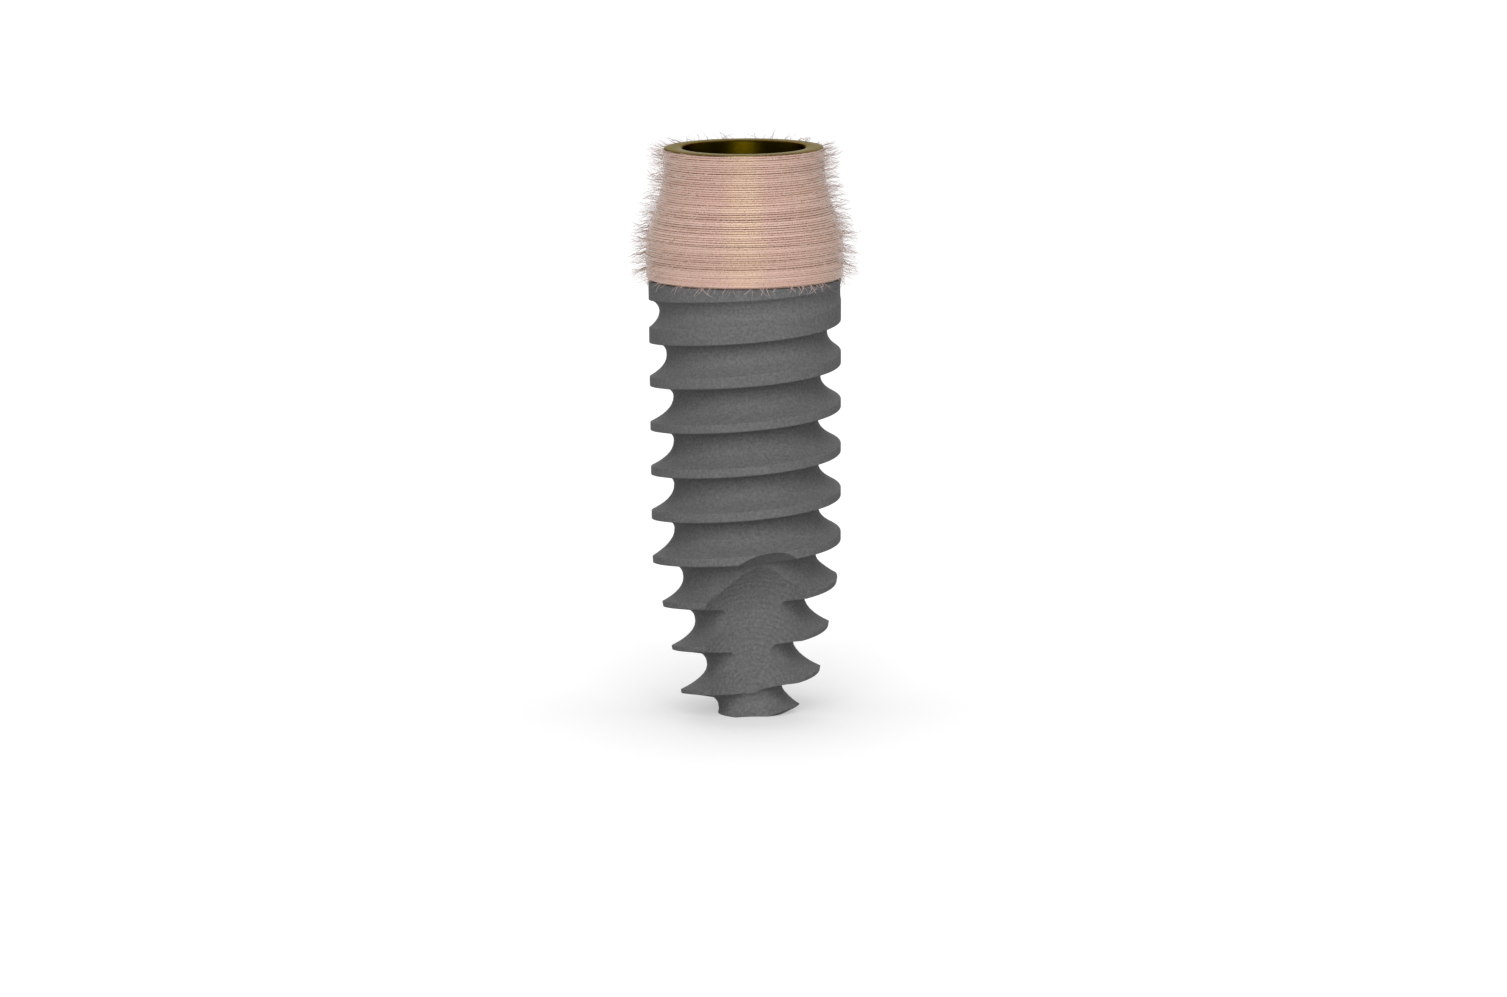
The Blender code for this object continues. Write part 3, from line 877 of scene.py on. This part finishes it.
def buildFloor():
    size = studio["floorSize"] / 2
    corners = [(-size, -size, 0), (size, -size, 0), (size, size, 0), (-size, size, 0)]
    tone = studio["floorTone"]
    material, tree, shader = emptyMaterial("paleFloor", {
        "Base Color": (tone, tone, tone, 1.0), "Roughness": 0.9, "Specular IOR Level": 0.0})
    path = addNode(tree, "LightPath")
    seen = addMath(tree, "MAXIMUM", path.outputs["Is Camera Ray"], polishedRay(tree, path))
    # painted shadow: the glow is lowered where nearby geometry occludes the floor, on top of the
    # real shadows of the lamps
    nearby = addNode(tree, "AmbientOcclusion", {"Distance": studio["paintedShadowReach"] * mm},
                     samples=16)
    paintedShadow = addNode(tree, "MapRange", {
        "Value": nearby.outputs["AO"], "From Min": studio["paintedShadowFull"], "From Max": 1.0,
        "To Min": studio["paintedShadowGlow"], "To Max": studio["floorGlow"]})
    level = addMath(tree, "MULTIPLY", seen, paintedShadow.outputs[0])
    glow = addNode(tree, "Emission", {"Color": (1.0, 1.0, 1.0, 1.0), "Strength": level})
    both = addNode(tree, "AddShader", {0: shader.outputs[0], 1: glow.outputs[0]})
    tree.links.new(both.outputs[0], tree.nodes["Material Output"].inputs["Surface"])
    floor = meshPiece("floor", corners, [[0, 1, 2, 3]], material, smooth=False)


# white behind the object, plain light on it, and a darker room in front for the metal
def lightWorld():
    world = bpy.data.worlds.new("studioWorld")
    bpy.context.scene.world = world
    world.use_nodes = True
    tree = world.node_tree
    background = tree.nodes["Background"]
    background.inputs["Color"].default_value = (1.0, 1.0, 1.0, 1.0)
    path = addNode(tree, "LightPath")
    room = addNode(tree, "SeparateXYZ", {0: addNode(tree, "TexCoord").outputs["Generated"]})
    backdrop = addNode(tree, "MapRange", {
        "Value": room.outputs["Y"], "From Min": -0.9, "From Max": 0.5,
        "To Min": studio["reflectedFront"], "To Max": studio["reflectedBack"]},
        interpolation_type="SMOOTHSTEP")
    lift = addNode(tree, "Mix", {
        "Factor": polishedRay(tree, path), "A": studio["worldLight"], "B": backdrop.outputs[0]})
    seen = addMath(tree, "MAXIMUM", path.outputs["Is Camera Ray"], lift.outputs[0])
    tree.links.new(seen, background.inputs["Strength"])


# a soft sun on one side of the object (-1 in front, 1 behind), aimed at the middle of its height
def addSun(name, side, elevation, spread, strength):
    light = bpy.data.lights.new(name, "SUN")
    light.energy = strength
    light.angle = math.radians(spread)
    lamp = bpy.data.objects.new(name, light)
    bpy.context.scene.collection.objects.link(lamp)
    e = math.radians(elevation)
    towards = Vector((0.0, side * math.cos(e), math.sin(e)))
    aim = Vector((0, 0, studio["lampAimZ"] * mm))
    lamp.location = aim + towards * studio["lampDistance"] * mm
    lamp.rotation_euler = (-towards).to_track_quat("-Z", "Y").to_euler()


def setCamera():
    scene = bpy.context.scene
    camera = bpy.data.cameras.new("camera")
    camera.lens = view["lens"]
    camera.sensor_width = view["sensor"]
    camera.clip_start, camera.clip_end = view["nearest"], view["farthest"]
    holder = bpy.data.objects.new("camera", camera)
    scene.collection.objects.link(holder)
    e = math.radians(view["elevation"])
    back = Vector((0.0, -math.cos(e), math.sin(e))) * view["distance"] * mm
    holder.location = Vector((view["aimX"] * mm, 0.0, view["aimZ"] * mm)) + back
    tilt = Matrix.Rotation(math.radians(90.0 - view["elevation"]), 3, "X")
    roll = Matrix.Rotation(math.radians(view["roll"]), 3, "Z")
    holder.rotation_euler = (tilt @ roll).to_euler()
    scene.camera = holder
    scene.view_settings.view_transform = "Standard"


for startup in [o for o in bpy.data.objects if o.name in ("Cube", "Light", "Camera")]:
    bpy.data.objects.remove(startup, do_unlink=True)
buildFloor()
lightWorld()
addSun("keyLight", -1, studio["keyElevation"], studio["keySpread"], studio["keyStrength"])
addSun("fillLight", 1, studio["fillElevation"], studio["fillSpread"], studio["fillStrength"])
setCamera()
print("floor, light and camera set")
